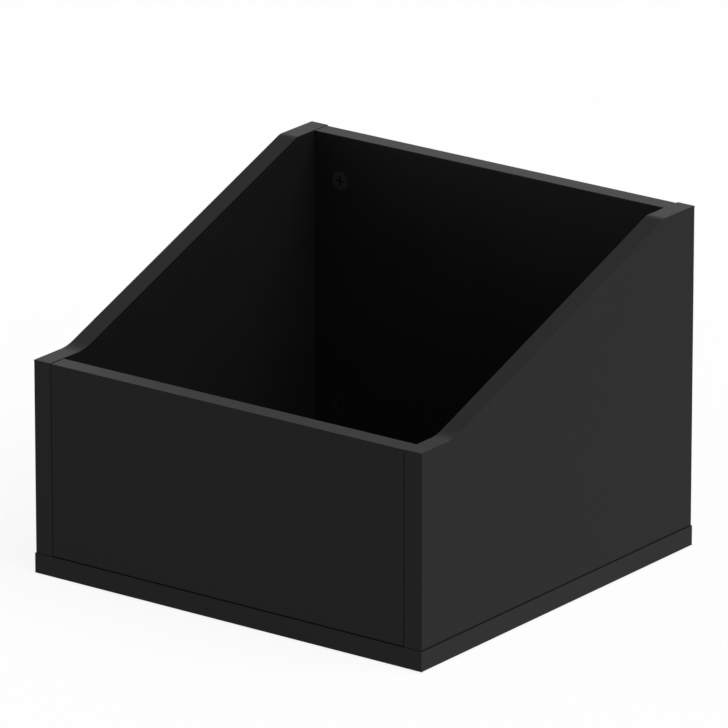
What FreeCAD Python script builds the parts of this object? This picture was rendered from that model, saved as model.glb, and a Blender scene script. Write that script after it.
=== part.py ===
import FreeCAD, Part
import math
import os
import Sketcher

# Record storage box: an open, sloped bin, flat-packed from black melamine-faced chipboard. A base
# plate carries two sloped sides, and cam fittings and dowels hold the front and back panels between
# them, with a hairline left at each joint and a little more at the front panel's left end.
# Millimetres; +X right, +Y back, +Z up; origin on the floor, under the middle of the base.

SIZES = {
    # Base plate, boards, and the small steps and gaps between them
    "base_width": 360,
    "base_depth": 345,
    "board": 16,
    "base_reveal": 0.5,
    "front_proud": 0.2,
    "back_recess": 1,
    "panel_lift": 0.4,
    "panel_set_down": 0.3,
    "hairline": 0.2,
    "end_gap": 0.1,
    "front_slack": 0.5,
    "arris": 0.5,
    # Outline of the sides, above the base
    "front_height": 152.8,
    "back_height": 253.4,
    "front_flat": 32,
    "back_flat": 38,
    "valley_radius": 40,
    "crest_radius": 12,
    # Edging glued over the cut edges
    "edging": 1,
    "edging_round": 0.6,
    # Clearance round every fitted pin, dowel and screw
    "fit": 0.05,
    # Cam nuts
    "cam_diameter": 15,
    "cam_setback": 24,
    "cam_margin": 36,
    "cam_below": 4.3,
    "cam_face_recess": 0.2,
    "cam_floor_gap": 0.3,
    "cam_draw": 0.8,
    "cam_play": 0.1,
    "cam_drive_length": 7.5,
    "cam_drive_width": 1.6,
    "cam_drive_depth": 2.4,
    "cam_mark_length": 2,
    "cam_mark_depth": 0.5,
    "cam_rim": 0.7,
    # Bolts that the cams draw in
    "bolt_thread_diameter": 6.2,
    "bolt_thread_length": 11,
    "bolt_thread_chamfer": 1,
    "bolt_collar_diameter": 7.8,
    "bolt_collar_length": 2,
    "bolt_shank_diameter": 6.6,
    "bolt_neck_diameter": 4.6,
    "bolt_neck_lead": 1,
    "bolt_ball_diameter": 6.8,
    "bolt_hole_diameter": 8,
    "bolt_hole_end_gap": 0.5,
    # Wooden dowels
    "dowel_diameter": 8,
    "dowel_length": 30,
    "dowel_in_face": 10,
    "dowel_chamfer": 1,
    "dowel_end_gap": 1,
    # Screws up through the base
    "screw_length": 50,
    "screw_head_diameter": 10,
    "screw_head_recess": 0.4,
    "screw_shank_diameter": 7,
    "screw_shank_setback": 4,
    "screw_thread_diameter": 6.4,
    "screw_tip_length": 5,
    "screw_tip_diameter": 3,
    "screw_drive_length": 5.6,
    "screw_drive_width": 1.4,
    "screw_drive_depth": 2.2,
    "screw_end_gap": 1,
    # Stick-on feet
    "foot_diameter": 22,
    "foot_thickness": 1.5,
    "foot_inset": 30,
    "foot_round": 0.5,
    # How far a cutter runs past the solid it cuts
    "overrun": 1,
}

# Places along an edge, as shares of its length
FRONT_DOWEL_SHARES = (0.5,)
BACK_DOWEL_SHARES = (0.3, 0.7)
SIDE_SCREW_SHARES = (0.15, 0.5, 0.85)
SIDE_DOWEL_SHARES = (0.33, 0.67)
PANEL_SCREW_SHARES = (0.27, 0.73)

LEFT = FreeCAD.Vector(-1, 0, 0)
RIGHT = FreeCAD.Vector(1, 0, 0)
FRONT = FreeCAD.Vector(0, -1, 0)
BACK = FreeCAD.Vector(0, 1, 0)
UP = FreeCAD.Vector(0, 0, 1)

# Lengths and places that follow from the sizes
CARCASS_WIDTH = "(dims.base_width - 2 * dims.base_reveal)"
CARCASS_DEPTH = "(dims.base_depth - 2 * dims.base_reveal)"
INNER_WIDTH = f"({CARCASS_WIDTH} - 2 * dims.board)"
PANEL_END = f"({INNER_WIDTH} / 2 - dims.end_gap)"
PANEL_STARTS = {"front": f"(dims.front_slack - {PANEL_END})", "back": f"(-{PANEL_END})"}
BASE_TOP = "(dims.foot_thickness + dims.board)"
PANEL_BOTTOM = f"({BASE_TOP} + dims.panel_lift)"
FRONT_PANEL_HEIGHT = "(dims.front_height - dims.panel_lift - dims.panel_set_down)"
BACK_PANEL_HEIGHT = "(dims.back_height - dims.panel_lift - dims.panel_set_down)"
FRONT_FACE = f"(-{CARCASS_DEPTH} / 2 - dims.front_proud)"
BACK_FACE = f"({CARCASS_DEPTH} / 2 - dims.back_recess)"
FRONT_MIDDLE = f"({FRONT_FACE} + dims.board / 2)"
BACK_MIDDLE = f"({BACK_FACE} - dims.board / 2)"
SIDE_MIDDLE = f"(({CARCASS_WIDTH} - dims.board) / 2)"
CAM_PLACE = f"({INNER_WIDTH} / 2 - dims.cam_setback)"
DOWEL_IN_EDGE = "(dims.dowel_length - dims.dowel_in_face)"
DOWEL_HOLE = "(dims.dowel_diameter + 2 * dims.fit)"
BOLT_PILOT = "(dims.bolt_thread_diameter + 2 * dims.fit)"
SCREW_PILOT = "(dims.screw_thread_diameter + 2 * dims.fit)"
SCREW_IN_EDGE = "(dims.screw_length + dims.screw_head_recess - dims.board)"

doc = FreeCAD.newDocument("record_storage_box")
dims = doc.addObject("Spreadsheet::Sheet", "dims")
for row, (alias, size) in enumerate(SIZES.items(), start=1):
    dims.set(f"A{row}", alias)
    dims.set(f"B{row}", str(size))
    dims.setAlias(f"B{row}", alias)
doc.recompute()

nodes = []


def value(expression):
    """What an expression on the sheet comes to just now."""
    return float(dims.evalExpression(expression))


def new_body(label):
    body = doc.addObject("PartDesign::Body", label)
    body.Label = label
    return body


def place(item, x, y, z, along=RIGHT, outward=UP):
    """Set an item's own origin at a bound point, its X axis along and its Z axis outward."""
    turn = FreeCAD.Rotation(along, outward.cross(along), outward, "XZY")
    item.Placement = FreeCAD.Placement(FreeCAD.Vector(), turn)
    for axis, expression in zip("xyz", (x, y, z)):
        item.setExpression(f"Placement.Base.{axis}", expression)
    return item


def finished(item):
    """Count an item among the sub-parts that are written out."""
    nodes.append(item)
    return item


def origin_plane(body, role):
    return next(plane for plane in body.Origin.OriginFeatures if plane.Role == role)


def new_sketch(body, name, role, offset="0"):
    """A sketch on one of the body's own origin planes, moved along its normal by offset."""
    sketch = body.newObject("Sketcher::SketchObject", f"{body.Label}_{name}")
    sketch.AttachmentSupport = [(origin_plane(body, role), "")]
    sketch.MapMode = "FlatFace"
    sketch.setExpression("AttachmentOffset.Base.z", offset)
    return sketch


def bound(sketch, expression, kind, *elements):
    """Add a driving constraint whose size is bound to the sheet."""
    index = sketch.addConstraint(Sketcher.Constraint(kind, *elements, value(expression)))
    sketch.setExpression(f"Constraints[{index}]", expression)


def fix_point(sketch, line, end, x, y):
    bound(sketch, x, "DistanceX", -1, 1, line, end)
    bound(sketch, y, "DistanceY", -1, 1, line, end)


def point(x, y):
    return FreeCAD.Vector(value(x), value(y), 0)


def outline(sketch, points):
    """A closed run of straight lines through bound points."""
    corners = [point(x, y) for x, y in points]
    lines = [
        sketch.addGeometry(Part.LineSegment(start, end), False)
        for start, end in zip(corners, corners[1:] + corners[:1])
    ]
    for line, following in zip(lines, lines[1:] + lines[:1]):
        sketch.addConstraint(Sketcher.Constraint("Coincident", line, 2, following, 1))
    for line, (x, y) in zip(lines, points):
        fix_point(sketch, line, 1, x, y)


def rectangle(sketch, left, right, bottom, top):
    outline(sketch, [(left, bottom), (right, bottom), (right, top), (left, top)])


def circles(sketch, centres, diameter):
    """Equal circles about bound centres."""
    for x, y in centres:
        circle = Part.Circle(point(x, y), UP, value(diameter) / 2)
        ring = sketch.addGeometry(circle, False)
        fix_point(sketch, ring, 3, x, y)
        bound(sketch, diameter, "Diameter", ring)


def cross(sketch, length, width):
    """The outline of a cross-head drive, about the sketch's origin."""
    reach, half = f"({length} / 2)", f"({width} / 2)"
    corner = [(reach, half), (half, half), (half, reach)]
    turned = [(f"-{y}", x) for x, y in corner]
    opposite = [(f"-{x}", f"-{y}") for x, y in corner]
    last = [(y, f"-{x}") for x, y in corner]
    outline(sketch, corner + turned + opposite + last)


def pad(body, sketch, length, reverse=False):
    feature = body.newObject("PartDesign::Pad", f"{sketch.Name}_pad")
    feature.Profile = sketch
    feature.Reversed = reverse
    feature.setExpression("Length", length)
    doc.recompute()
    return feature


def cut(body, sketch, depth, reverse=False, midplane=False):
    """Pocket a sketch into a body, and make sure that it took something away."""
    before = body.Shape.Volume
    pocket = body.newObject("PartDesign::Pocket", f"{sketch.Name}_cut")
    pocket.Profile = sketch
    pocket.Reversed = reverse
    pocket.Midplane = midplane
    pocket.setExpression("Length", depth)
    doc.recompute()
    if body.Shape.Volume >= before:
        raise RuntimeError(f"{pocket.Label} takes nothing away")
    return pocket


def revolve(body, sketch):
    """Turn a profile a full turn about the sketch's vertical axis."""
    feature = body.newObject("PartDesign::Revolution", f"{sketch.Name}_turn")
    feature.Profile = sketch
    feature.ReferenceAxis = (sketch, ["V_Axis"])
    feature.Angle = 360
    doc.recompute()
    return feature


def ease(body, kind, size, chosen):
    """Fillet or chamfer the edges whose middle point is chosen."""
    base = body.Tip
    names = []
    for number, edge in enumerate(base.Shape.Edges, start=1):
        if chosen(edge.valueAt((edge.FirstParameter + edge.LastParameter) / 2)):
            names.append(f"Edge{number}")
    feature = body.newObject(f"PartDesign::{kind}", f"{body.Label}_{kind.lower()}")
    feature.Base = (base, names)
    feature.setExpression("Radius" if kind == "Fillet" else "Size", size)
    doc.recompute()
    return feature


def at(coordinate, expression):
    return math.isclose(coordinate, value(expression), abs_tol=Part.Precision.confusion())


def group(label, master, places):
    """Like pieces as one sub-part: a copy of the master at each bound place."""
    links = []
    for number, where in enumerate(places, start=1):
        link = doc.addObject("App::Link", f"{label}_{number}")
        link.LinkedObject = master
        links.append(place(link, *where))
    compound = doc.addObject("Part::Compound", label)
    compound.Label = label
    compound.Links = links
    return finished(compound)


# Places of the fittings
def along_edge(length, share):
    return f"({share} * {length} - {length} / 2)"


def cam_heights(panel_height):
    """Heights of the lower and upper cams above a panel's bottom edge."""
    return {"lower": "dims.cam_margin", "upper": f"({panel_height} - dims.cam_margin)"}


def dowel_heights(panel_height, shares):
    """Heights of the dowels, as shares of the way from the lower cam to the upper one."""
    return [f"(dims.cam_margin + {share} * ({panel_height} - 2 * dims.cam_margin))" for share in shares]


def screw_places():
    """Where the screws come up through the base: under both sides, then under both panels."""
    places = []
    for side in (f"-{SIDE_MIDDLE}", SIDE_MIDDLE):
        places += [(side, along_edge(CARCASS_DEPTH, share)) for share in SIDE_SCREW_SHARES]
    for middle in (FRONT_MIDDLE, BACK_MIDDLE):
        places += [(along_edge(INNER_WIDTH, share), middle) for share in PANEL_SCREW_SHARES]
    return places


def base_dowel_places():
    """Where dowels stand in the base, under both sides."""
    return [
        (side, along_edge(CARCASS_DEPTH, share))
        for side in (f"-{SIDE_MIDDLE}", SIDE_MIDDLE)
        for share in SIDE_DOWEL_SHARES
    ]


PANELS = {
    "front": (FRONT_PANEL_HEIGHT, FRONT_MIDDLE, BACK, FRONT_DOWEL_SHARES),
    "back": (BACK_PANEL_HEIGHT, BACK_MIDDLE, FRONT, BACK_DOWEL_SHARES),
}


# Base plate, drilled and countersunk from below for screws, and from above for dowels
def make_base_panel():
    body = new_body("base_panel")
    plate = new_sketch(body, "plate", "XY_Plane")
    half_width = "(dims.base_width / 2 - dims.edging)"
    half_depth = "(dims.base_depth / 2 - dims.edging)"
    rectangle(plate, f"-{half_width}", half_width, f"-{half_depth}", half_depth)
    pad(body, plate, "dims.board")

    screw_holes = new_sketch(body, "screw_holes", "XY_Plane")
    circles(screw_holes, screw_places(), "dims.screw_shank_diameter + 2 * dims.fit")
    doc.recompute()
    before = body.Shape.Volume
    hole = body.newObject("PartDesign::Hole", "base_panel_countersinks")
    hole.Profile = screw_holes
    hole.ThreadType = "None"
    hole.DepthType = "ThroughAll"
    hole.HoleCutType = "Countersink"
    hole.HoleCutCustomValues = True
    hole.HoleCutCountersinkAngle = 90
    hole.Reversed = True
    hole.setExpression("Diameter", "dims.screw_shank_diameter + 2 * dims.fit")
    hole.setExpression(
        "HoleCutDiameter", "dims.screw_head_diameter + 2 * dims.screw_head_recess + 4 * dims.fit"
    )
    doc.recompute()
    if body.Shape.Volume >= before:
        raise RuntimeError("the countersunk holes take nothing away")

    dowel_holes = new_sketch(body, "dowel_holes", "XY_Plane", "dims.board")
    circles(dowel_holes, base_dowel_places(), DOWEL_HOLE)
    cut(body, dowel_holes, "dims.dowel_in_face + dims.dowel_end_gap")
    return finished(place(body, "0", "0", "dims.foot_thickness"))


# Sides
def top_line(sketch, drop, inset):
    """Front land, concave bend, slope, convex bend and back land, set in from the outline by drop."""
    front_z, back_z = f"dims.front_height - {drop}", f"dims.back_height - {drop}"
    back_start = f"{CARCASS_DEPTH} - dims.back_flat"
    valley_radius, crest_radius = f"dims.valley_radius + {drop}", f"dims.crest_radius - {drop}"
    valley = point("dims.front_flat", f"{front_z} + {valley_radius}")
    crest = point(back_start, f"{back_z} - ({crest_radius})")
    across = crest - valley
    turn = math.atan2(across.y, across.x)
    turn += math.asin((value(valley_radius) + value(crest_radius)) / across.Length)
    outward = FreeCAD.Vector(-math.sin(turn), math.cos(turn), 0)

    quarter = math.pi / 2
    valley_circle = Part.Circle(valley, UP, value(valley_radius))
    crest_circle = Part.Circle(crest, UP, value(crest_radius))
    slope_start = valley - outward * valley_circle.Radius
    slope_end = crest + outward * crest_circle.Radius
    front_land, bend, slope, brow, back_land = [
        sketch.addGeometry(shape, False)
        for shape in (
            Part.LineSegment(point(inset, front_z), point("dims.front_flat", front_z)),
            Part.ArcOfCircle(valley_circle, -quarter, turn - quarter),
            Part.LineSegment(slope_start, slope_end),
            Part.ArcOfCircle(crest_circle, quarter, turn + quarter),
            Part.LineSegment(point(back_start, back_z), point(f"{CARCASS_DEPTH} - {inset}", back_z)),
        )
    ]
    for joint in (
        (front_land, 2, bend, 1),
        (bend, 2, slope, 1),
        (slope, 2, brow, 2),
        (brow, 1, back_land, 1),
    ):
        sketch.addConstraint(Sketcher.Constraint("Tangent", *joint))
    for land in (front_land, back_land):
        sketch.addConstraint(Sketcher.Constraint("Horizontal", land))
    fix_point(sketch, front_land, 1, inset, front_z)
    fix_point(sketch, back_land, 2, f"{CARCASS_DEPTH} - {inset}", back_z)
    bound(sketch, "dims.front_flat", "DistanceX", -1, 1, front_land, 2)
    bound(sketch, back_start, "DistanceX", -1, 1, back_land, 1)
    bound(sketch, valley_radius, "Radius", bend)
    bound(sketch, crest_radius, "Radius", brow)
    return front_land, back_land


def side_outline(sketch):
    """The board inside its edging, a hairline above the base."""
    front_land, back_land = top_line(sketch, "dims.edging", "dims.edging")
    back_end = f"{CARCASS_DEPTH} - dims.edging"
    corners = (
        point("dims.edging", "dims.front_height - dims.edging"),
        point("dims.edging", "dims.hairline"),
        point(back_end, "dims.hairline"),
        point(back_end, "dims.back_height - dims.edging"),
    )
    front, bottom, back = [
        sketch.addGeometry(Part.LineSegment(start, end), False)
        for start, end in zip(corners, corners[1:])
    ]
    for joint in (
        (front_land, 1, front, 1),
        (front, 2, bottom, 1),
        (bottom, 2, back, 1),
        (back, 2, back_land, 2),
    ):
        sketch.addConstraint(Sketcher.Constraint("Coincident", *joint))
    fix_point(sketch, front, 2, "dims.edging", "dims.hairline")
    fix_point(sketch, bottom, 2, back_end, "dims.hairline")


def make_side_panel(name, left_edge, faces_right):
    """A side with its front land at the front; its inner face looks right or left."""
    body = new_body(f"{name}_side_panel")
    board = new_sketch(body, "board", "YZ_Plane")
    side_outline(board)
    pad(body, board, "dims.board")
    inner_face, outer_face = ("dims.board", "0") if faces_right else ("0", "dims.board")
    ease(
        body, "Chamfer", "dims.arris",
        lambda middle: at(middle.z, "dims.hairline") and at(middle.x, outer_face),
    )

    bolt_places, dowel_places = [], []
    for height, middle, _, shares in PANELS.values():
        depth = f"{middle} + {CARCASS_DEPTH} / 2"
        bolt_places += [(depth, f"{z} + dims.panel_lift") for z in cam_heights(height).values()]
        dowel_places += [(depth, f"{z} + dims.panel_lift") for z in dowel_heights(height, shares)]
    bolt_holes = new_sketch(body, "bolt_holes", "YZ_Plane", inner_face)
    circles(bolt_holes, bolt_places, BOLT_PILOT)
    cut(body, bolt_holes, "dims.bolt_thread_length + dims.bolt_hole_end_gap", reverse=not faces_right)
    dowel_holes = new_sketch(body, "dowel_holes", "YZ_Plane", inner_face)
    circles(dowel_holes, dowel_places, DOWEL_HOLE)
    cut(body, dowel_holes, "dims.dowel_in_face + dims.dowel_end_gap", reverse=not faces_right)

    screw_holes = new_sketch(body, "screw_holes", "XY_Plane")
    circles(screw_holes, edge_places(SIDE_SCREW_SHARES), SCREW_PILOT)
    cut(body, screw_holes, f"{SCREW_IN_EDGE} + dims.screw_end_gap", reverse=True)
    foot_dowels = new_sketch(body, "foot_dowels", "XY_Plane")
    circles(foot_dowels, edge_places(SIDE_DOWEL_SHARES), DOWEL_HOLE)
    cut(body, foot_dowels, f"{DOWEL_IN_EDGE} + dims.dowel_end_gap", reverse=True)
    return finished(place(body, left_edge, f"-{CARCASS_DEPTH} / 2", BASE_TOP))


def edge_places(shares):
    """Places along the middle of a side's bottom edge."""
    return [("dims.board / 2", f"{share} * {CARCASS_DEPTH}") for share in shares]


# Front and back panels
def make_panel(name):
    """A panel seen from outside: outer face at y = 0, inner face bored for the cams."""
    height, _, _, shares = PANELS[name]
    body = new_body(f"{name}_panel")
    board = new_sketch(body, "board", "XZ_Plane")
    rectangle(board, PANEL_STARTS[name], PANEL_END, "0", f"{height} - dims.edging")
    pad(body, board, "dims.board", reverse=True)
    ease(body, "Chamfer", "dims.arris", lambda middle: at(middle.y, "0") and at(middle.z, "0"))

    cam_bores = new_sketch(body, "cam_bores", "XZ_Plane", "-dims.board")
    circles(cam_bores, [(CAM_PLACE, z) for z in cam_heights(height).values()], "dims.cam_diameter")
    bores = cut(body, cam_bores, "dims.board / 2 + dims.cam_below + dims.cam_floor_gap", reverse=True)
    bolt_holes = new_sketch(body, "bolt_holes", "YZ_Plane", PANEL_END)
    circles(
        bolt_holes, [("dims.board / 2", z) for z in cam_heights(height).values()], "dims.bolt_hole_diameter"
    )
    bolt_cut = cut(body, bolt_holes, "dims.cam_setback - dims.end_gap")
    dowel_holes = new_sketch(body, "dowel_holes", "YZ_Plane", PANEL_END)
    circles(dowel_holes, [("dims.board / 2", z) for z in dowel_heights(height, shares)], DOWEL_HOLE)
    dowel_cut = cut(body, dowel_holes, f"{DOWEL_IN_EDGE} + dims.dowel_end_gap - dims.end_gap")
    other_end = body.newObject("PartDesign::Mirrored", f"{name}_panel_other_end")
    other_end.Originals = [bores, bolt_cut, dowel_cut]
    other_end.MirrorPlane = (origin_plane(body, "YZ_Plane"), [""])
    body.Tip = other_end
    doc.recompute()

    screw_holes = new_sketch(body, "screw_holes", "XY_Plane")
    circles(
        screw_holes,
        [(along_edge(INNER_WIDTH, share), "dims.board / 2") for share in PANEL_SCREW_SHARES],
        SCREW_PILOT,
    )
    cut(body, screw_holes, f"{SCREW_IN_EDGE} - dims.panel_lift + dims.screw_end_gap", reverse=True)
    return finished(body)


# Edging
def edging_section(sketch, bottom):
    """A strip's section: as wide as the board, its two outer corners rounded over."""
    width, height, radius = value("dims.board"), value("dims.edging"), value("dims.edging_round")
    low = value(bottom)
    shoulder, top = low + height - radius, low + height
    corner = FreeCAD.Vector
    glue, right, right_round, outer, left_round, left = [
        sketch.addGeometry(shape, False)
        for shape in (
            Part.LineSegment(corner(0, low), corner(width, low)),
            Part.LineSegment(corner(width, low), corner(width, shoulder)),
            Part.ArcOfCircle(Part.Circle(corner(width - radius, shoulder), UP, radius), 0, math.pi / 2),
            Part.LineSegment(corner(width - radius, top), corner(radius, top)),
            Part.ArcOfCircle(Part.Circle(corner(radius, shoulder), UP, radius), math.pi / 2, math.pi),
            Part.LineSegment(corner(0, shoulder), corner(0, low)),
        )
    ]
    for joint in ((glue, 2, right, 1), (left, 2, glue, 1)):
        sketch.addConstraint(Sketcher.Constraint("Coincident", *joint))
    for joint in (
        (right, 2, right_round, 1),
        (right_round, 2, outer, 1),
        (outer, 2, left_round, 1),
        (left_round, 2, left, 1),
    ):
        sketch.addConstraint(Sketcher.Constraint("Tangent", *joint))
    for line in (glue, outer):
        sketch.addConstraint(Sketcher.Constraint("Horizontal", line))
    for line in (right, left):
        sketch.addConstraint(Sketcher.Constraint("Vertical", line))
    sketch.addConstraint(Sketcher.Constraint("Equal", right_round, left_round))
    fix_point(sketch, glue, 1, "0", bottom)
    bound(sketch, "dims.board", "DistanceX", glue, 1, glue, 2)
    bound(sketch, "dims.edging", "DistanceY", glue, 1, outer, 1)
    bound(sketch, "dims.edging_round", "Radius", right_round)


def make_strip(label, length, x, y, z, along, outward):
    """A straight strip that runs along, from a corner of its glued face, and looks outward."""
    body = new_body(label)
    section = new_sketch(body, "section", "YZ_Plane")
    edging_section(section, "0")
    pad(body, section, length)
    return finished(place(body, x, y, z, along, outward))


def make_side_top_edging(name, left_edge):
    """The strip that follows a side's top edge from front to back."""
    body = new_body(f"{name}_side_top_edging")
    path = new_sketch(body, "path", "YZ_Plane")
    top_line(path, "dims.edging", "0")
    section = new_sketch(body, "section", "XZ_Plane")
    edging_section(section, "dims.front_height - dims.edging")
    strip = body.newObject("PartDesign::AdditivePipe", f"{name}_side_top_edging_bend")
    strip.Profile = section
    strip.Spine = (path, [])
    doc.recompute()
    return finished(place(body, left_edge, f"-{CARCASS_DEPTH} / 2", BASE_TOP))


# Fittings
def make_cam_nut():
    """A cam seen from its face, locked: the bolt comes in along +X, on the plane z = 0.

    The hollow is set off centre, so a turn draws the bolt's ball in. The slot lets the neck pass
    for half a turn, to the wider gap where the ball goes in and out.
    """
    body = new_body("cam_nut")
    top = "(dims.board / 2 - dims.cam_face_recess)"
    beyond = "(dims.cam_diameter / 2 + dims.overrun)"
    ball_room = "(dims.bolt_ball_diameter + 2 * dims.cam_play)"
    neck_room = "(dims.bolt_neck_diameter + 2 * dims.cam_play)"
    disc = new_sketch(body, "disc", "XY_Plane", "-dims.cam_below")
    circles(disc, [("0", "0")], "dims.cam_diameter - 2 * dims.fit")
    pad(body, disc, f"dims.cam_below + {top}")

    hollow = new_sketch(body, "hollow", "XY_Plane")
    circles(hollow, [("-dims.cam_draw", "0")], f"{ball_room} + 2 * dims.cam_draw")
    cut(body, hollow, ball_room, midplane=True)
    neck_slot = new_sketch(body, "neck_slot", "XY_Plane")
    rectangle(neck_slot, f"-{beyond}", beyond, f"-{beyond}", f"{neck_room} / 2")
    cut(body, neck_slot, neck_room, midplane=True)
    ball_gap = new_sketch(body, "ball_gap", "XY_Plane")
    rectangle(ball_gap, f"-{beyond}", "-dims.cam_draw", f"-{ball_room} / 2", f"{ball_room} / 2")
    cut(body, ball_gap, ball_room, midplane=True)

    drive = new_sketch(body, "drive", "XY_Plane", top)
    cross(drive, "dims.cam_drive_length", "dims.cam_drive_width")
    cut(body, drive, "dims.cam_drive_depth")
    arrow = new_sketch(body, "arrow", "XY_Plane", top)
    tip = "(dims.cam_diameter / 2 - dims.cam_rim)"
    tail = f"({tip} - dims.cam_mark_length)"
    outline(
        arrow,
        [
            (f"-{tip}", "0"),
            (f"-{tail}", "-dims.cam_mark_length / 2"),
            (f"-{tail}", "dims.cam_mark_length / 2"),
        ],
    )
    cut(body, arrow, "dims.cam_mark_depth")
    return body


def make_cam_bolt():
    """A bolt along +Z: thread below z = 0, then collar, shank, neck and ball."""
    body = new_body("cam_bolt")
    thread, collar = "dims.bolt_thread_diameter / 2", "dims.bolt_collar_diameter / 2"
    shank, neck = "dims.bolt_shank_diameter / 2", "dims.bolt_neck_diameter / 2"
    neck_start = "dims.cam_setback - dims.cam_diameter / 2 - dims.bolt_neck_lead"
    half = new_sketch(body, "half", "XZ_Plane")
    outline(
        half,
        [
            ("0", "-dims.bolt_thread_length"),
            (f"{thread} - dims.bolt_thread_chamfer", "-dims.bolt_thread_length"),
            (thread, "dims.bolt_thread_chamfer - dims.bolt_thread_length"),
            (thread, "0"),
            (collar, "0"),
            (collar, "dims.bolt_collar_length"),
            (shank, "dims.bolt_collar_length"),
            (shank, neck_start),
            (neck, neck_start),
            (neck, "dims.cam_setback"),
            ("0", "dims.cam_setback"),
        ],
    )
    revolve(body, half)
    ball = body.newObject("PartDesign::AdditiveSphere", "cam_bolt_ball")
    ball.AttachmentSupport = [(origin_plane(body, "XY_Plane"), "")]
    ball.MapMode = "FlatFace"
    ball.setExpression("AttachmentOffset.Base.z", "dims.cam_setback")
    ball.setExpression("Radius", "dims.bolt_ball_diameter / 2")
    doc.recompute()
    return body


def make_dowel():
    """A dowel along +Z, with the joint between the two boards at z = 0."""
    body = new_body("dowel")
    radius, end = "dims.dowel_diameter / 2", "dims.dowel_chamfer"
    half = new_sketch(body, "half", "XZ_Plane")
    outline(
        half,
        [
            ("0", "-dims.dowel_in_face"),
            (f"{radius} - {end}", "-dims.dowel_in_face"),
            (radius, f"{end} - dims.dowel_in_face"),
            (radius, f"{DOWEL_IN_EDGE} - {end}"),
            (f"{radius} - {end}", DOWEL_IN_EDGE),
            ("0", DOWEL_IN_EDGE),
        ],
    )
    revolve(body, half)
    return body


def make_base_screw():
    """A countersunk screw along +Z, with the underside of the base at z = 0."""
    body = new_body("base_screw")
    head, shank = "dims.screw_head_diameter / 2", "dims.screw_shank_diameter / 2"
    thread, tip = "dims.screw_thread_diameter / 2", "dims.screw_tip_diameter / 2"
    seat, end = "dims.screw_head_recess", "dims.screw_head_recess + dims.screw_length"
    shank_end = "dims.board - dims.screw_shank_setback"
    half = new_sketch(body, "half", "XZ_Plane")
    outline(
        half,
        [
            ("0", seat),
            (head, seat),
            (shank, f"{seat} + {head} - {shank}"),
            (shank, shank_end),
            (thread, shank_end),
            (thread, f"{end} - dims.screw_tip_length"),
            (tip, end),
            ("0", end),
        ],
    )
    revolve(body, half)
    drive = new_sketch(body, "drive", "XY_Plane", seat)
    cross(drive, "dims.screw_drive_length", "dims.screw_drive_width")
    cut(body, drive, "dims.screw_drive_depth", reverse=True)
    return body


def make_foot():
    """A round pad with its lower rim rounded over."""
    body = new_body("foot")
    disc = new_sketch(body, "disc", "XY_Plane")
    circles(disc, [("0", "0")], "dims.foot_diameter")
    pad(body, disc, "dims.foot_thickness")
    ease(body, "Fillet", "dims.foot_round", lambda middle: at(middle.z, "0"))
    return body


def copy_of(master, label, *where):
    link = doc.addObject("App::Link", label)
    link.Label = label
    link.LinkedObject = master
    return finished(place(link, *where))


# Boards, in the order in which the box goes together
SIDE_LEFT_EDGES = {"left": f"(-{CARCASS_WIDTH} / 2)", "right": f"({CARCASS_WIDTH} / 2 - dims.board)"}
make_base_panel()
for name, left_edge in SIDE_LEFT_EDGES.items():
    make_side_panel(name, left_edge, faces_right=name == "left")
place(make_panel("front"), "0", FRONT_FACE, PANEL_BOTTOM)
place(make_panel("back"), "0", BACK_FACE, PANEL_BOTTOM, along=LEFT)

# Edging round the base: full-width strips at the front and back, shorter ones between them
HALF_BASE_WIDTH, HALF_BASE_DEPTH = "dims.base_width / 2", "dims.base_depth / 2"
SHORT_STRIP = "dims.base_depth - 2 * dims.edging"
for name, length, x, y, outward in (
    ("front", "dims.base_width", f"-{HALF_BASE_WIDTH}", f"dims.edging - {HALF_BASE_DEPTH}", FRONT),
    ("back", "dims.base_width", HALF_BASE_WIDTH, f"{HALF_BASE_DEPTH} - dims.edging", BACK),
    ("left", SHORT_STRIP, f"dims.edging - {HALF_BASE_WIDTH}", f"{HALF_BASE_DEPTH} - dims.edging", LEFT),
    ("right", SHORT_STRIP, f"{HALF_BASE_WIDTH} - dims.edging", f"dims.edging - {HALF_BASE_DEPTH}", RIGHT),
):
    make_strip(f"base_{name}_edging", length, x, y, "dims.foot_thickness", UP.cross(outward), outward)

# Edging on the sides: upright strips at the front and back, one bent strip over their ends
SIDE_BOTTOM = f"({BASE_TOP} + dims.hairline)"
UPRIGHT_ENDS = "dims.edging + dims.hairline"
for name, left_edge in SIDE_LEFT_EDGES.items():
    make_strip(
        f"{name}_side_front_edging", f"dims.front_height - ({UPRIGHT_ENDS})",
        f"{left_edge} + dims.board", f"dims.edging - {CARCASS_DEPTH} / 2", SIDE_BOTTOM, UP, FRONT,
    )
    make_strip(
        f"{name}_side_back_edging", f"dims.back_height - ({UPRIGHT_ENDS})",
        left_edge, f"{CARCASS_DEPTH} / 2 - dims.edging", SIDE_BOTTOM, UP, BACK,
    )
    make_side_top_edging(name, left_edge)

# Edging along the tops of the panels
for name, y, height in (
    ("front", FRONT_FACE, FRONT_PANEL_HEIGHT),
    ("back", f"{BACK_FACE} - dims.board", BACK_PANEL_HEIGHT),
):
    make_strip(
        f"{name}_panel_top_edging", f"{PANEL_END} - {PANEL_STARTS[name]}",
        PANEL_STARTS[name], y, f"{PANEL_BOTTOM} + {height} - dims.edging", RIGHT, UP,
    )

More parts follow.
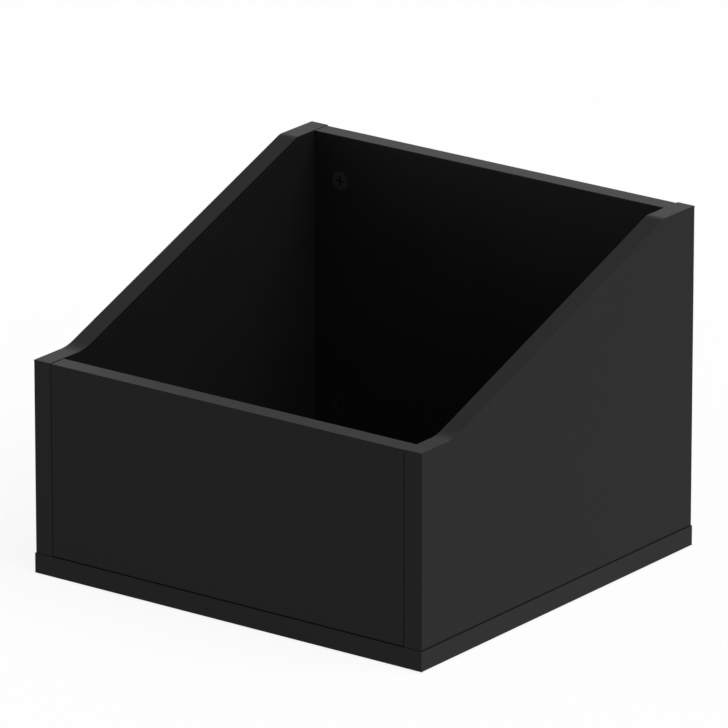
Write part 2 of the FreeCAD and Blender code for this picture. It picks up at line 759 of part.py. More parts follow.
# Cams, and the bolts and dowels that run from the sides into the panels
cam_nut = make_cam_nut()
bolt_places, dowel_places = [], []
for panel, (height, middle, inward, shares) in PANELS.items():
    for side, sign, direction in (("left", "-", LEFT), ("right", "", RIGHT)):
        end = f"{sign}{INNER_WIDTH} / 2"
        for level, z in cam_heights(height).items():
            level_z = f"{PANEL_BOTTOM} + {z}"
            copy_of(
                cam_nut, f"{panel}_{side}_{level}_cam",
                f"{sign}{CAM_PLACE}", middle, level_z, direction, inward,
            )
            bolt_places.append((end, middle, level_z, UP, -direction))
        for z in dowel_heights(height, shares):
            dowel_places.append((end, middle, f"{PANEL_BOTTOM} + {z}", UP, -direction))
group("cam_bolts", make_cam_bolt(), bolt_places)
dowel = make_dowel()
group("panel_dowels", dowel, dowel_places)
group("base_dowels", dowel, [(x, y, BASE_TOP) for x, y in base_dowel_places()])

# Screws and feet under the base
group("base_screws", make_base_screw(), [(x, y, "dims.foot_thickness") for x, y in screw_places()])
foot = make_foot()
for depth_name, depth_sign in (("front", "-"), ("back", "")):
    for side, sign in (("left", "-"), ("right", "")):
        foot_x = f"{sign}({HALF_BASE_WIDTH} - dims.foot_inset)"
        foot_y = f"{depth_sign}({HALF_BASE_DEPTH} - dims.foot_inset)"
        copy_of(foot, f"{depth_name}_{side}_foot", foot_x, foot_y, "0")

# Check everything, then write each sub-part
doc.recompute()
for item in doc.Objects:
    if "Invalid" in item.State or "Error" in item.State:
        raise RuntimeError(f"{item.Label} failed: {item.State}")
for node in nodes:
    if node.Shape.isNull() or not node.Shape.isValid() or not node.Shape.Solids:
        raise RuntimeError(f"{node.Label} has no sound shape")
os.makedirs("parts", exist_ok=True)
for node in nodes:
    node.Shape.exportStep(f"parts/{node.Label}.step")
print(len(nodes), "sub-parts,", sum(len(node.Shape.Solids) for node in nodes), "solids")
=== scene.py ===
import math

import bmesh
import bpy
from mathutils import Matrix, Vector


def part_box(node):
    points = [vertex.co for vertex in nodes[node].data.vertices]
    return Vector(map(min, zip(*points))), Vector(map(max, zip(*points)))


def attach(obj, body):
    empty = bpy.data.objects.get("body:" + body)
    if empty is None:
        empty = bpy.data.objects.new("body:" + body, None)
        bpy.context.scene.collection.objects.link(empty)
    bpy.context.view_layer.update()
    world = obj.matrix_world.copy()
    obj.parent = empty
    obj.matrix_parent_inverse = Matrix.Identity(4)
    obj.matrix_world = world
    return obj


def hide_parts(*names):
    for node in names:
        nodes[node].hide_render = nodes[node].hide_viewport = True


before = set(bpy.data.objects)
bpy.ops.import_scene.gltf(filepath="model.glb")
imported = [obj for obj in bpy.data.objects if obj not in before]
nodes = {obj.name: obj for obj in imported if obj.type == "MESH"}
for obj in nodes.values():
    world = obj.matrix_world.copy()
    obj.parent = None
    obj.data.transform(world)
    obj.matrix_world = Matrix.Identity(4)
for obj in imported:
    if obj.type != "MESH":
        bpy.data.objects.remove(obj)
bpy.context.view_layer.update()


# Base plate: chipboard faced above and below with black melamine paper, pressed on hot against a
# finely grained plate. It is sawn to size and edged, then drilled and countersunk from below.
FACING_BLACK = "#131313"
FACING_PALER_BLACK = "#161616"
FACING_CLOUD = 0.06
# The pressed grain is about 0.3 mm wide, and is drawn four times as coarse so that it shows.
FACING_GRAIN = 0.0012
FACING_GRAIN_DEPTH = 0.00001
FACING_ROUGHNESS = (0.42, 0.5)
FACING_SPECULAR = 0.105
# The sawn ends are sealed black this far in from each face, so that no pale line shows at a joint.
SEALED_END = 0.0012
CHIP_LENGTH = 0.004
CHIP_PALE = "#b08d5f"
CHIP_DARK = "#76573a"
CHIP_ROUGHNESS = 0.9


def linear(colour):
    """An sRGB hex colour as linear RGBA."""
    parts = [int(colour[start:start + 2], 16) / 255 for start in (1, 3, 5)]
    return [c / 12.92 if c <= 0.04045 else ((c + 0.055) / 1.055) ** 2.4 for c in parts] + [1.0]


def add_node(tree, kind, inputs=None, **settings):
    """Add a node. Each input, by its identifier, takes a value or the output that feeds it."""
    node = tree.nodes.new(f"ShaderNode{kind}")
    for name, setting in settings.items():
        setattr(node, name, setting)
    sockets = {socket.identifier: socket for socket in node.inputs}
    for name, source in (inputs or {}).items():
        if isinstance(source, bpy.types.NodeSocket):
            tree.links.new(source, sockets[name])
        else:
            sockets[name].default_value = source
    return node


def new_material(name):
    """An empty material, with its node tree and the place on the piece that its patterns read."""
    material = bpy.data.materials.new(name)
    material.use_nodes = True
    tree = material.node_tree
    tree.nodes.clear()
    return material, tree, add_node(tree, "TexCoord").outputs["Object"]


def blended(tree, share, first, second):
    """The colour that lies a share of the way from one to another, each a value or an output."""
    inputs = {"Factor_Float": share, "A_Color": first, "B_Color": second}
    mix = add_node(tree, "Mix", inputs, data_type="RGBA")
    return next(output for output in mix.outputs if output.identifier == "Result_Color")


def paint(material, *names):
    """Give the named nodes one material in place of their own."""
    for name in names:
        nodes[name].data.materials.clear()
        nodes[name].data.materials.append(material)


def melamine_board(name, across):
    """Black melamine on the faces across a board, and bare chipboard where it is cut between them.

    The facing is a deep satin black, barely clouded, with a fine pressed grain that breaks up its
    gloss. The core is pale chips in brown glue.
    """
    material, tree, place = new_material(f"black_melamine_{name}")
    low, high = [corner["XYZ".index(across)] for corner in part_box(name)]
    middle = (low + high) / 2
    half_core = (high - low) / 2 - SEALED_END
    depth = add_node(tree, "SeparateXYZ", {"Vector": place}).outputs[across]
    offset = add_node(tree, "Math", {"Value": depth, "Value_001": middle}, operation="SUBTRACT")
    reach = add_node(tree, "Math", {"Value": offset.outputs[0]}, operation="ABSOLUTE")
    core = add_node(
        tree, "Math", {"Value": reach.outputs[0], "Value_001": half_core}, operation="LESS_THAN"
    )

    cloud = add_node(tree, "TexNoise", {"Vector": place, "Scale": 1 / FACING_CLOUD})
    facing = blended(tree, cloud.outputs["Fac"], linear(FACING_BLACK), linear(FACING_PALER_BLACK))
    chips = add_node(tree, "TexVoronoi", {"Vector": place, "Scale": 1 / CHIP_LENGTH})
    chipboard = blended(tree, chips.outputs["Distance"], linear(CHIP_PALE), linear(CHIP_DARK))
    colour = blended(tree, core.outputs[0], facing, chipboard)
    grain = add_node(tree, "TexNoise", {"Vector": place, "Scale": 1 / FACING_GRAIN})
    relief = add_node(tree, "Bump", {"Distance": FACING_GRAIN_DEPTH, "Height": grain.outputs["Fac"]})
    glossiest, dullest = FACING_ROUGHNESS
    satin = add_node(
        tree, "MapRange", {"Value": cloud.outputs["Fac"], "To Min": glossiest, "To Max": dullest}
    )
    roughness = add_node(
        tree, "Mix",
        {"Factor_Float": core.outputs[0], "A_Float": satin.outputs[0], "B_Float": CHIP_ROUGHNESS},
    )
    board = add_node(
        tree, "BsdfPrincipled",
        {
            "Base Color": colour,
            "Roughness": roughness.outputs[0],
            "Specular IOR Level": FACING_SPECULAR,
            "Normal": relief.outputs[0],
        },
    )
    add_node(tree, "OutputMaterial", {"Surface": board.outputs[0]})
    return material


paint(melamine_board("base_panel", "Z"), "base_panel")


# Sides: the same faced chipboard, routed to their sloped outline and drilled on the inner face for
# the bolts and dowels of the panels. Screws through the base and dowels in it hold their bottom edges.
for name in ("left_side_panel", "right_side_panel"):
    paint(melamine_board(name, "X"), name)


# Front and back panels: the same faced chipboard, sawn square, with blind bores for the cams on the
# inner face. They stand between the sides, a hair clear of the base.
for name in ("front_panel", "back_panel"):
    paint(melamine_board(name, "Y"), name)


# Edging: extruded black ABS strip with a fine embossed grain, glued hot on the sawn edges, trimmed
# flush and rounded over along both corners. It is a touch glossier than the facing.
EDGING_BLACK = "#101010"
EDGING_PALER_BLACK = "#141414"
EDGING_MOTTLE = 0.0024
# The embossed grain is about 0.3 mm wide too, and is drawn as coarse as the facing's.
EDGING_GRAIN = 0.0012
EDGING_GRAIN_DEPTH = 0.00002
EDGING_ROUGHNESS = (0.3, 0.38)
EDGING_SPECULAR = 0.113


def abs_edging():
    """Dense satin black plastic, with a slight mottle in its colour and gloss."""
    material, tree, place = new_material("black_abs_edging")
    mottle = add_node(tree, "TexNoise", {"Vector": place, "Scale": 1 / EDGING_MOTTLE})
    colour = blended(tree, mottle.outputs["Fac"], linear(EDGING_BLACK), linear(EDGING_PALER_BLACK))
    grain = add_node(tree, "TexNoise", {"Vector": place, "Scale": 1 / EDGING_GRAIN})
    relief = add_node(tree, "Bump", {"Distance": EDGING_GRAIN_DEPTH, "Height": grain.outputs["Fac"]})
    glossiest, dullest = EDGING_ROUGHNESS
    roughness = add_node(
        tree, "MapRange", {"Value": mottle.outputs["Fac"], "To Min": glossiest, "To Max": dullest}
    )
    strip = add_node(
        tree, "BsdfPrincipled",
        {
            "Base Color": colour,
            "Roughness": roughness.outputs[0],
            "Specular IOR Level": EDGING_SPECULAR,
            "Normal": relief.outputs[0],
        },
    )
    add_node(tree, "OutputMaterial", {"Surface": strip.outputs[0]})
    return material


paint(abs_edging(), *[name for name in nodes if name.endswith("_edging")])


# Cams: eight nuts of die-cast zinc, dropped into blind bores in the inner faces of the front and back
# panels. Half a turn with a cross-head driver draws in the head of a bolt and locks it.
CAM_BLACK = "#26262a"
CAM_GREY = "#55555a"
CAST_PATCH = 0.0025
CAST_GRAIN = 0.0005
CAST_GRAIN_DEPTH = 0.00003
CAM_ROUGHNESS = (0.38, 0.6)


def blackened_zinc():
    """Dull, dark casting, rubbed greyer in patches, with the fine skin that the mould leaves."""
    material, tree, place = new_material("blackened_die_cast_zinc")
    patches = add_node(tree, "TexNoise", {"Vector": place, "Scale": 1 / CAST_PATCH})
    colour = blended(tree, patches.outputs["Fac"], linear(CAM_BLACK), linear(CAM_GREY))
    grain = add_node(tree, "TexNoise", {"Vector": place, "Scale": 1 / CAST_GRAIN})
    skin = add_node(tree, "Bump", {"Distance": CAST_GRAIN_DEPTH, "Height": grain.outputs["Fac"]})
    glossiest, dullest = CAM_ROUGHNESS
    roughness = add_node(
        tree, "MapRange", {"Value": patches.outputs["Fac"], "To Min": dullest, "To Max": glossiest}
    )
    casting = add_node(
        tree, "BsdfPrincipled",
        {
            "Base Color": colour,
            "Metallic": 1.0,
            "Roughness": roughness.outputs[0],
            "Normal": skin.outputs[0],
        },
    )
    add_node(tree, "OutputMaterial", {"Surface": casting.outputs[0]})
    return material


paint(blackened_zinc(), *[name for name in nodes if name.endswith("_cam")])


# Bolts: eight turned steel pins with a rolled thread that bites into the sides. The collar stops each
# one against the side's inner face, and the cam holds the ball at its tip.
BOLT_THREAD_RADIUS = 0.0031
BOLT_CORE_RADIUS = 0.0023
BOLT_POINT_RADIUS = 0.0016
BOLT_THREAD_LENGTH = 0.011
BOLT_POINT_LENGTH = 0.0012
BOLT_THREAD_PITCH = 0.0016
BOLT_COLLAR_RADIUS = 0.0039
BOLT_COLLAR_LENGTH = 0.002
BOLT_COLLAR_CHAMFER = 0.0003
BOLT_SHANK_RADIUS = 0.0033
BOLT_NECK_RADIUS = 0.0023
BOLT_NECK_START = 0.0155
BOLT_BALL_RADIUS = 0.0034
BALL_STEPS = 10
ROUND_SEGMENTS = 32
WELD_REACH = 0.000001
THREAD_FLANK_SHARE = 0.58
THREAD_FOOT_SHARE = 0.9
SMOOTH_BELOW = math.radians(35)
PLATE_GREY = "#a9adb2"
PLATE_PALER_GREY = "#c3c5c6"
PLATE_PATCH = 0.003
TURNING_MARK = 0.00025
TURNING_MARK_DEPTH = 0.000006
PLATE_ROUGHNESS = (0.28, 0.4)


def middle_of(name):
    """The middle of a node's box."""
    low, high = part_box(name)
    return (low + high) / 2


def mesh_from(shape, name):
    """A new mesh of the shape, which is freed."""
    mesh = bpy.data.meshes.new(name)
    shape.to_mesh(mesh)
    shape.free()
    return mesh


def turned(name, profile):
    """Turn a run of (radius, height) points round Z into a closed solid."""
    shape = bmesh.new()
    points = [shape.verts.new((radius, 0, height)) for radius, height in profile]
    lines = [shape.edges.new(pair) for pair in zip(points, points[1:])]
    bmesh.ops.spin(
        shape, geom=points + lines, axis=(0, 0, 1), cent=(0, 0, 0), angle=math.tau,
        steps=ROUND_SEGMENTS, use_merge=True,
    )
    bmesh.ops.remove_doubles(shape, verts=shape.verts, dist=WELD_REACH)
    bmesh.ops.recalc_face_normals(shape, faces=shape.faces)
    return mesh_from(shape, name)


def thread_ridge(crest, core, pitch, low, high):
    """A three-sided ridge wound round Z, its foot sunk in the core that it stands on."""
    shape = bmesh.new()
    foot = core * THREAD_FOOT_SHARE
    flank = (crest - foot) * THREAD_FLANK_SHARE
    corners = [
        shape.verts.new(place)
        for place in ((foot, 0, low - flank), (crest, 0, low), (foot, 0, low + flank))
    ]
    lines = [shape.edges.new(pair) for pair in zip(corners, corners[1:] + corners[:1])]
    turns = (high - low) / pitch
    steps = round(turns * ROUND_SEGMENTS)
    bmesh.ops.spin(
        shape, geom=corners + lines, axis=(0, 0, 1), cent=(0, 0, 0),
        dvec=(0, 0, (high - low) / steps), angle=turns * math.tau, steps=steps,
    )
    bmesh.ops.holes_fill(shape, edges=[edge for edge in shape.edges if edge.is_boundary], sides=0)
    bmesh.ops.recalc_face_normals(shape, faces=shape.faces)
    return mesh_from(shape, "thread_ridge")


def combined(mesh, other, operation):
    """A new mesh: the first one with the other joined to it or cut out of it, cleared of slivers."""
    work = bpy.data.objects.new("work", mesh)
    tool = bpy.data.objects.new("tool", other)
    for item in (work, tool):
        bpy.context.scene.collection.objects.link(item)
    step = work.modifiers.new("step", "BOOLEAN")
    step.operation = operation
    step.object = tool
    graph = bpy.context.evaluated_depsgraph_get()
    shape = bmesh.new()
    shape.from_object(work, graph)
    for item in (work, tool):
        bpy.data.objects.remove(item)
    bmesh.ops.triangulate(shape, faces=shape.faces)
    bmesh.ops.dissolve_degenerate(shape, edges=shape.edges, dist=WELD_REACH)
    return mesh_from(shape, "combined")


def placed(place, along):
    """A turn and a move that take a piece's Z axis along a direction, from a place."""
    return Matrix.Translation(place) @ along.to_track_quat("Z", "Y").to_matrix().to_4x4()


def add_fittings(name, master, places, material, node):
    """One piece in place of a node of like fittings: a copy of the master mesh at each place."""
    shape = bmesh.new()
    for place in places:
        kept = len(shape.verts)
        shape.from_mesh(master)
        shape.verts.ensure_lookup_table()
        bmesh.ops.transform(shape, matrix=place, verts=shape.verts[kept:])
    mesh = mesh_from(shape, name)
    mesh.shade_smooth()
    mesh.set_sharp_from_angle(angle=SMOOTH_BELOW)
    mesh.materials.append(material)
    piece = bpy.data.objects.new(name, mesh)
    bpy.context.scene.collection.objects.link(piece)
    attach(piece, "carcass")
    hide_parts(node)


def zinc_plated_steel():
    """Bright, faintly blue plating, clouded in patches, over fine marks from turning."""
    material, tree, place = new_material("zinc_plated_steel")
    patches = add_node(tree, "TexNoise", {"Vector": place, "Scale": 1 / PLATE_PATCH})
    colour = blended(tree, patches.outputs["Fac"], linear(PLATE_GREY), linear(PLATE_PALER_GREY))
    marks = add_node(tree, "TexNoise", {"Vector": place, "Scale": 1 / TURNING_MARK})
    relief = add_node(tree, "Bump", {"Distance": TURNING_MARK_DEPTH, "Height": marks.outputs["Fac"]})
    glossiest, dullest = PLATE_ROUGHNESS
    roughness = add_node(
        tree, "MapRange", {"Value": patches.outputs["Fac"], "To Min": glossiest, "To Max": dullest}
    )
    plate = add_node(
        tree, "BsdfPrincipled",
        {
            "Base Color": colour,
            "Metallic": 1.0,
            "Roughness": roughness.outputs[0],
            "Normal": relief.outputs[0],
        },
    )
    add_node(tree, "OutputMaterial", {"Surface": plate.outputs[0]})
    return material


joint_x = {"left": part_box("left_side_panel")[1].x, "right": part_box("right_side_panel")[0].x}
ball_place = middle_of("front_left_lower_cam").x - joint_x["left"]
ball_start = math.asin(BOLT_NECK_RADIUS / BOLT_BALL_RADIUS)
ball_turns = [ball_start + (math.pi - ball_start) * step / BALL_STEPS for step in range(BALL_STEPS)]
ball_profile = [
    (BOLT_BALL_RADIUS * math.sin(turn), ball_place - BOLT_BALL_RADIUS * math.cos(turn))
    for turn in ball_turns
]
bolt_core = turned(
    "bolt_core",
    [
        (0, -BOLT_THREAD_LENGTH),
        (BOLT_POINT_RADIUS, -BOLT_THREAD_LENGTH),
        (BOLT_CORE_RADIUS, BOLT_POINT_LENGTH - BOLT_THREAD_LENGTH),
        (BOLT_CORE_RADIUS, 0),
        (BOLT_COLLAR_RADIUS - BOLT_COLLAR_CHAMFER, 0),
        (BOLT_COLLAR_RADIUS, BOLT_COLLAR_CHAMFER),
        (BOLT_COLLAR_RADIUS, BOLT_COLLAR_LENGTH - BOLT_COLLAR_CHAMFER),
        (BOLT_COLLAR_RADIUS - BOLT_COLLAR_CHAMFER, BOLT_COLLAR_LENGTH),
        (BOLT_SHANK_RADIUS, BOLT_COLLAR_LENGTH),
        (BOLT_SHANK_RADIUS, BOLT_NECK_START),
        (BOLT_NECK_RADIUS, BOLT_NECK_START),
        *ball_profile,
        (0, ball_place + BOLT_BALL_RADIUS),
    ],
)
bolt_thread = thread_ridge(
    BOLT_THREAD_RADIUS, BOLT_CORE_RADIUS, BOLT_THREAD_PITCH,
    BOLT_POINT_LENGTH - BOLT_THREAD_LENGTH, -BOLT_THREAD_PITCH / 2,
)
bolt = combined(bolt_core, bolt_thread, "UNION")

INWARD = {"left": Vector((1, 0, 0)), "right": Vector((-1, 0, 0))}
bolt_places = []
for panel in ("front", "back"):
    panel_y = middle_of(f"{panel}_panel").y
    for side, inward in INWARD.items():
        for level in ("lower", "upper"):
            cam_z = middle_of(f"{panel}_{side}_{level}_cam").z
            bolt_places.append(placed(Vector((joint_x[side], panel_y, cam_z)), inward))
plated_steel = zinc_plated_steel()
add_fittings("threaded_cam_bolts", bolt, bolt_places, plated_steel, "cam_bolts")


# Dowels: fluted beech rods, six between the panels and the sides and four between the base and the
# sides. They are planed round, pressed with flutes that let air and glue out, and chamfered.
DOWEL_RADIUS = 0.004
DOWEL_FLUTE_DEPTH = 0.00035
DOWEL_FLUTES = 24
DOWEL_CHAMFER = 0.001
DOWEL_IN_FACE = 0.01
DOWEL_IN_EDGE = 0.02
PANEL_DOWEL_SHARES = {"front": (0.5,), "back": (0.3, 0.7)}
BASE_DOWEL_SHARES = (0.33, 0.67)
BEECH_PALE = "#d2b086"
BEECH_DARK = "#b48a5e"
BEECH_GRAIN_WIDTH = 0.0008
BEECH_GRAIN_LENGTH = 0.02
BEECH_GRAIN_DEPTH = 0.00002
BEECH_ROUGHNESS = 0.7


def fluted_dowel():
    """A rod along Z, with the joint between its two boards at the origin."""
    shape = bmesh.new()
    ring = bmesh.ops.create_circle(shape, cap_ends=True, radius=DOWEL_RADIUS, segments=2 * DOWEL_FLUTES)
    flute = 1 - DOWEL_FLUTE_DEPTH / DOWEL_RADIUS
    bmesh.ops.scale(shape, vec=(flute, flute, 1), verts=ring["verts"][::2])
    end = 1 - DOWEL_CHAMFER / DOWEL_RADIUS
    bmesh.ops.scale(shape, vec=(end, end, 1), verts=shape.verts)
    bmesh.ops.translate(shape, vec=(0, 0, -DOWEL_IN_FACE), verts=shape.verts)
    grown = [*shape.verts, *shape.edges, *shape.faces]
    straight = DOWEL_IN_FACE + DOWEL_IN_EDGE - 2 * DOWEL_CHAMFER
    for length, widening in ((DOWEL_CHAMFER, 1 / end), (straight, 1), (DOWEL_CHAMFER, end)):
        grown = bmesh.ops.extrude_face_region(shape, geom=grown)["geom"]
        corners = [item for item in grown if isinstance(item, bmesh.types.BMVert)]
        bmesh.ops.translate(shape, vec=(0, 0, length), verts=corners)
        bmesh.ops.scale(shape, vec=(widening, widening, 1), verts=corners)
    bmesh.ops.recalc_face_normals(shape, faces=shape.faces)
    return mesh_from(shape, "fluted_dowel")


def beech(name, along):
    """Pale pinkish wood with fine grain that runs along the dowel."""
    material, tree, place = new_material(name)
    scale = [1 / BEECH_GRAIN_LENGTH if axis == along else 1 / BEECH_GRAIN_WIDTH for axis in "XYZ"]
    drawn_out = add_node(tree, "Mapping", {"Vector": place, "Scale": scale})
    grain = add_node(tree, "TexNoise", {"Vector": drawn_out.outputs[0], "Scale": 1.0})
    colour = blended(tree, grain.outputs["Fac"], linear(BEECH_PALE), linear(BEECH_DARK))
    pores = add_node(tree, "Bump", {"Distance": BEECH_GRAIN_DEPTH, "Height": grain.outputs["Fac"]})
    wood = add_node(
        tree, "BsdfPrincipled",
        {"Base Color": colour, "Roughness": BEECH_ROUGHNESS, "Normal": pores.outputs[0]},
    )
    add_node(tree, "OutputMaterial", {"Surface": wood.outputs[0]})
    return material


dowel = fluted_dowel()
panel_dowel_places = []
for panel, shares in PANEL_DOWEL_SHARES.items():
    panel_y = middle_of(f"{panel}_panel").y
    lower, upper = [middle_of(f"{panel}_left_{level}_cam").z for level in ("lower", "upper")]
    for side, inward in INWARD.items():
        for share in shares:
            dowel_z = lower + share * (upper - lower)
            panel_dowel_places.append(placed(Vector((joint_x[side], panel_y, dowel_z)), inward))
beech_along_x = beech("beech_along_x", "X")
add_fittings("fluted_panel_dowels", dowel, panel_dowel_places, beech_along_x, "panel_dowels")

UP = Vector((0, 0, 1))
base_bottom, base_top = [corner.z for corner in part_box("base_panel")]
sides_front, sides_back = [corner.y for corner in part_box("left_side_top_edging")]


def under_sides(shares, level):
    """Places at a height, under the middle of both sides, at shares of the way from front to back."""
    depths = [sides_front + share * (sides_back - sides_front) for share in shares]
    return [
        placed(Vector((middle_of(f"{side}_side_panel").x, depth, level)), UP)
        for side in INWARD
        for depth in depths
    ]


base_dowel_places = under_sides(BASE_DOWEL_SHARES, base_top)
beech_along_z = beech("beech_along_z", "Z")
add_fittings("fluted_base_dowels", dowel, base_dowel_places, beech_along_z, "base_dowels")


# Screws: ten countersunk steel screws with a cross-head drive, plated like the bolts. They come up
# through the base, their heads sunk just inside its underside, and bite into the sides and panels.
SCREW_HEAD_RADIUS = 0.005
SCREW_HEAD_RECESS = 0.0004
SCREW_HEAD_RIM = 0.0003
SCREW_SHANK_RADIUS = 0.0035
SCREW_SHANK_END = 0.012
SCREW_CORE_RADIUS = 0.0022
SCREW_THREAD_RADIUS = 0.0032
SCREW_THREAD_PITCH = 0.0028
SCREW_END = 0.0504
SCREW_POINT_LENGTH = 0.005
SCREW_POINT_RADIUS = 0.001
DRIVE_LENGTH = 0.0056
DRIVE_WIDTH = 0.0014
DRIVE_DEPTH = 0.0022
DRIVE_TAPER_SHARE = 0.45
SIDE_SCREW_SHARES = (0.15, 0.5, 0.85)
PANEL_SCREW_SHARES = (0.27, 0.73)


def drive_bar(turn):
    """One bar of the cross-head drive, drawn in towards its bottom, to be cut out of the head."""
    shape = bmesh.new()
    corners = bmesh.ops.create_cube(shape, size=1)["verts"]
    bmesh.ops.scale(shape, vec=(DRIVE_LENGTH, DRIVE_WIDTH, 2 * DRIVE_DEPTH), verts=corners)
    bmesh.ops.translate(shape, vec=(0, 0, SCREW_HEAD_RECESS), verts=corners)
    inner = [corner for corner in corners if corner.co.z > SCREW_HEAD_RECESS]
    bmesh.ops.scale(shape, vec=(DRIVE_TAPER_SHARE, DRIVE_TAPER_SHARE, 1), verts=inner)
    bmesh.ops.rotate(shape, matrix=Matrix.Rotation(turn, 3, "Z"), cent=(0, 0, 0), verts=corners)
    return mesh_from(shape, "drive_bar")


screw_core = turned(
    "screw_core",
    [
        (0, SCREW_HEAD_RECESS),
        (SCREW_HEAD_RADIUS - SCREW_HEAD_RIM, SCREW_HEAD_RECESS),
        (SCREW_HEAD_RADIUS - SCREW_HEAD_RIM, SCREW_HEAD_RECESS + SCREW_HEAD_RIM),
        (SCREW_SHANK_RADIUS, SCREW_HEAD_RECESS + SCREW_HEAD_RADIUS - SCREW_SHANK_RADIUS),
        (SCREW_SHANK_RADIUS, SCREW_SHANK_END),
        (SCREW_CORE_RADIUS, SCREW_SHANK_END),
        (SCREW_CORE_RADIUS, SCREW_END - SCREW_POINT_LENGTH),
        (SCREW_POINT_RADIUS, SCREW_END),
        (0, SCREW_END),
    ],
)
screw_thread = thread_ridge(
    SCREW_THREAD_RADIUS, SCREW_CORE_RADIUS, SCREW_THREAD_PITCH,
    SCREW_SHANK_END + SCREW_THREAD_PITCH / 2, SCREW_END - SCREW_POINT_LENGTH,
)
screw = combined(screw_core, screw_thread, "UNION")
for turn in (0, math.pi / 2):
    screw = combined(screw, drive_bar(turn), "DIFFERENCE")
screw_places = under_sides(SIDE_SCREW_SHARES, base_bottom)
for panel in ("front", "back"):
    for share in PANEL_SCREW_SHARES:
        screw_x = joint_x["left"] + share * (joint_x["right"] - joint_x["left"])
        screw_places.append(placed(Vector((screw_x, middle_of(f"{panel}_panel").y, base_bottom)), UP))
add_fittings("threaded_base_screws", screw, screw_places, plated_steel, "base_screws")


# Feet: four round pads punched from black foam rubber, with their lower rim rounded, stuck under the
# corners of the base.
RUBBER_BLACK = "#121212"
RUBBER_PALER_BLACK = "#1e1e1d"
RUBBER_CELL = 0.0006
RUBBER_CELL_DEPTH = 0.00012
RUBBER_ROUGHNESS = 0.92


def foam_rubber():
    """Matt black rubber, pitted all over by the cells that the punch cut open."""
    material, tree, place = new_material("black_foam_rubber")
    cells = add_node(tree, "TexVoronoi", {"Vector": place, "Scale": 1 / RUBBER_CELL})
    colour = blended(tree, cells.outputs["Distance"], linear(RUBBER_BLACK), linear(RUBBER_PALER_BLACK))
    pits = add_node(tree, "Bump", {"Distance": RUBBER_CELL_DEPTH, "Height": cells.outputs["Distance"]})
    rubber = add_node(
        tree, "BsdfPrincipled",
        {"Base Color": colour, "Roughness": RUBBER_ROUGHNESS, "Normal": pits.outputs[0]},
    )
    add_node(tree, "OutputMaterial", {"Surface": rubber.outputs[0]})
    return material


paint(foam_rubber(), *[name for name in nodes if name.endswith("_foot")])


# Studio: a pale floor that runs out of the picture, an even white surround and one broad soft lamp from
# the right. The floor shows mostly as plain white, and keeps a light shadow round the box.
FLOOR_REACH = 30.0
FLOOR_WHITE = "#f6f6f5"
FLOOR_GLOW = 0.9
# The surround sheds less light on the box than it shows as.
SURROUND_LIGHT = 0.4
SEEN_WHITE = 1.0
LAMP_STRENGTH = 2.75
LAMP_SPREAD = math.radians(60)
LAMP_AZIMUTH = math.radians(92)
LAMP_ELEVATION = math.radians(50)


def seen_or_mirrored(tree):
    """One for the rays that the camera, a gloss or a glass sees by, and zero for light on its way."""
    path = add_node(tree, "LightPath").outputs
    seen = add_node(
        tree, "Math",
        {"Value": path["Is Camera Ray"], "Value_001": path["Is Glossy Ray"]},
        operation="MAXIMUM",
    )
    seen = add_node(
        tree, "Math",
        {"Value": seen.outputs[0], "Value_001": path["Is Transmission Ray"]},
        operation="MAXIMUM",
    )
    return seen.outputs[0]


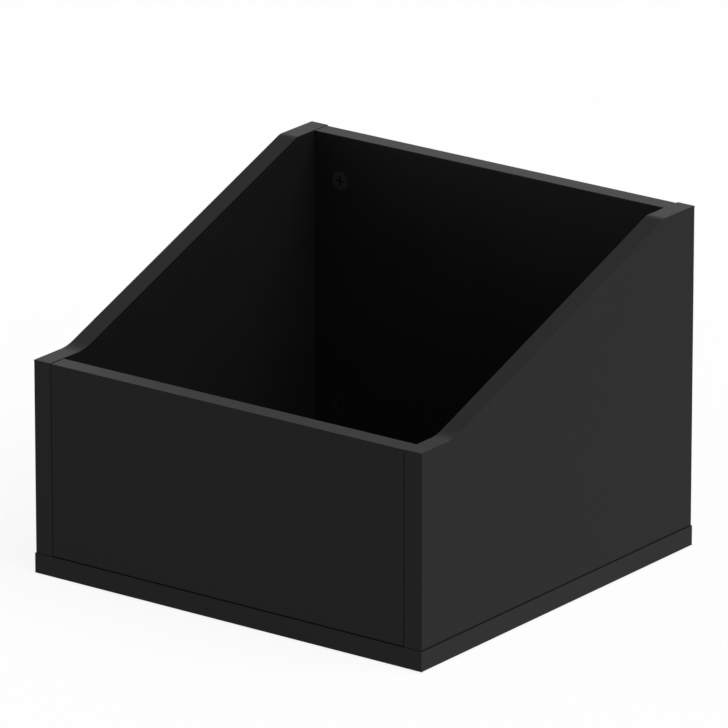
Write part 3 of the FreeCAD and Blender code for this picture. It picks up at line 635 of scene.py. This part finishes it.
shape = bmesh.new()
bmesh.ops.create_grid(shape, x_segments=1, y_segments=1, size=FLOOR_REACH)
floor = bpy.data.objects.new("floor", mesh_from(shape, "floor"))
bpy.context.scene.collection.objects.link(floor)
floor_paint, tree, _ = new_material("pale_floor")
matt = add_node(tree, "BsdfDiffuse", {"Color": linear(FLOOR_WHITE)})
glow = add_node(tree, "Emission", {"Strength": SEEN_WHITE})
share = add_node(
    tree, "Math", {"Value": seen_or_mirrored(tree), "Value_001": FLOOR_GLOW}, operation="MULTIPLY"
)
floor_shader = add_node(
    tree, "MixShader",
    {"Fac": share.outputs[0], "Shader": matt.outputs[0], "Shader_001": glow.outputs[0]},
)
add_node(tree, "OutputMaterial", {"Surface": floor_shader.outputs[0]})
floor.data.materials.append(floor_paint)

world = bpy.data.worlds.new("studio")
bpy.context.scene.world = world
world.use_nodes = True
tree = world.node_tree
tree.nodes.clear()
strength = add_node(
    tree, "MapRange",
    {"Value": seen_or_mirrored(tree), "To Min": SURROUND_LIGHT, "To Max": SEEN_WHITE},
)
surround = add_node(tree, "Background", {"Strength": strength.outputs[0]})
add_node(tree, "OutputWorld", {"Surface": surround.outputs[0]})


def direction(azimuth, elevation):
    """Unit vector from the object to a place round it; azimuth 0 is in front, and 90 to the right."""
    return Vector((
        math.sin(azimuth) * math.cos(elevation),
        -math.cos(azimuth) * math.cos(elevation),
        math.sin(elevation),
    ))


lamp_data = bpy.data.lights.new("soft_lamp", "SUN")
lamp_data.energy = LAMP_STRENGTH
lamp_data.angle = LAMP_SPREAD
lamp = bpy.data.objects.new("soft_lamp", lamp_data)
bpy.context.scene.collection.objects.link(lamp)
toward_lamp = direction(LAMP_AZIMUTH, LAMP_ELEVATION)
lamp.location = toward_lamp
lamp.rotation_euler = (-toward_lamp).to_track_quat("-Z", "Y").to_euler()


# Camera: a long lens from the front right, a little above the box.
CAMERA_AZIMUTH = math.radians(36.69)
CAMERA_ELEVATION = math.radians(18.604)
CAMERA_DISTANCE = 7.298
CAMERA_LENS = 482.0
CAMERA_AIM = Vector((-0.0015, 0.0009, 0.15585))
camera_data = bpy.data.cameras.new("camera")
camera_data.lens = CAMERA_LENS
camera = bpy.data.objects.new("camera", camera_data)
bpy.context.scene.collection.objects.link(camera)
toward_camera = direction(CAMERA_AZIMUTH, CAMERA_ELEVATION)
camera.location = CAMERA_AIM + toward_camera * CAMERA_DISTANCE
camera.rotation_euler = (-toward_camera).to_track_quat("-Z", "Y").to_euler()
bpy.context.scene.camera = camera
bpy.context.scene.view_settings.view_transform = "Standard"
